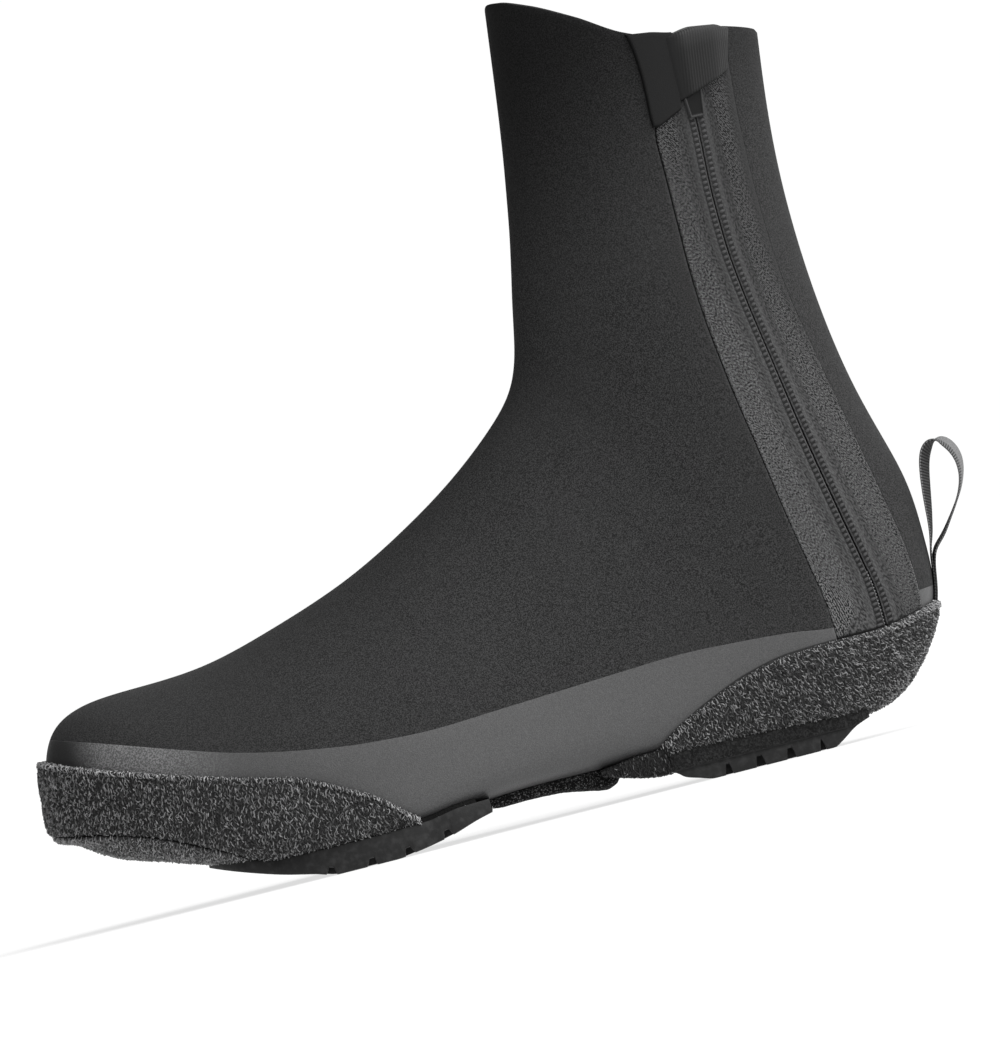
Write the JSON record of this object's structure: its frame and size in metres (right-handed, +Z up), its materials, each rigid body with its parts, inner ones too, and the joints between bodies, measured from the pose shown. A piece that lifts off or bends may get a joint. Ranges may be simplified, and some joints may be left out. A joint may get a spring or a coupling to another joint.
{
  "type": "cycling overshoe",
  "caption": "Left ankle-high cycling overshoe in dark neoprene with a side zip, rubber-faced toe and heel guards, lugged tread pads, an arch strap and a heel pull loop.",
  "frame": {"origin": "on the floor, on the flat lower face of the heel tread, at its middle", "axes": "+X to the toe, +Y to the outer side of the left foot, +Z up"},
  "size_m": [0.3138, 0.1056, 0.257],
  "materials": {
    "neoprene": "matt dark charcoal knit-faced neoprene with a grey reflective lower band",
    "guard_rubber": "matt crumb-textured rubber film with paler flecks",
    "tread_rubber": "smooth black rubber, semi-matt",
    "hook_and_loop": "fuzzy black hook-and-loop pile",
    "zip_tape": "dark grey woven tape",
    "zip_plastic": "black, satin",
    "garage_fabric": "black stretch fabric, part of it ribbed",
    "webbing": "grey ribbed woven tape"
  },
  "bodies": {
    "root": {"upper": "neoprene", "toe_guard": "guard_rubber", "toe_panel": "guard_rubber", "heel_guard": "guard_rubber", "forefoot_tread": "tread_rubber", "heel_tread": "tread_rubber", "arch_strap": "hook_and_loop", "zip_tape_front": "zip_tape", "zip_tape_rear": "zip_tape", "zip_coil": "zip_plastic", "zip_slider": "zip_plastic", "zip_garage_tab": "garage_fabric", "zip_garage_fold": "garage_fabric", "pull_loop": "webbing"}
  },
  "joints": []
}
